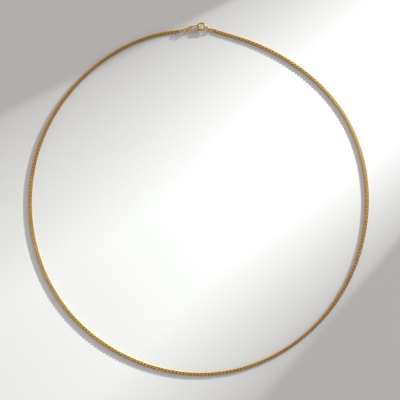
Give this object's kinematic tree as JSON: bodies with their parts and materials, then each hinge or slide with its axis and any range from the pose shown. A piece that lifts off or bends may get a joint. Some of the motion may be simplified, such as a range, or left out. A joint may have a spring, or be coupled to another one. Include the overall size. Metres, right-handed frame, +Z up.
{
  "type": "curb chain necklace",
  "caption": "Slim yellow gold curb chain lying in one open loop, joined at the back by a run of small rings and a spring ring clasp with a sprung thumb trigger.",
  "frame": {"origin": "on the surface that the necklace lies on, under the middle of its bounding box", "axes": "+Z up, away from the surface; +Y from the front of the loop to the clasp; +X to the right of the clasp seen from above"},
  "size_m": [0.1916, 0.1988, 0.0032],
  "materials": {
    "chain_gold": "polished yellow gold, links filed flat and bright above and below",
    "ring_gold": "polished yellow gold round wire, closed at a butt joint",
    "clasp_gold": "polished yellow gold tube with fine handling scratches",
    "trigger_gold": "polished yellow gold wire, a little darker where the tube shades it"
  },
  "bodies": {
    "necklace": {"chain": "chain_gold", "jump_ring_1": "ring_gold", "jump_ring_2": "ring_gold", "jump_ring_3": "ring_gold", "jump_ring_4": "ring_gold", "spring_ring": "clasp_gold", "jump_ring_5": "ring_gold"},
    "trigger": {"trigger": "trigger_gold"}
  },
  "joints": [
    {"name": "trigger_pull", "type": "hinge", "parent": "necklace", "child": "trigger", "pos_m": [0.00153, 0.09684, 0.00162], "axis": [-0.0506, 0.0135, 0.9986], "range_deg": [0, 50], "stiffness_Nm_per_rad": 0.003, "springref_deg": -17.19}
  ]
}
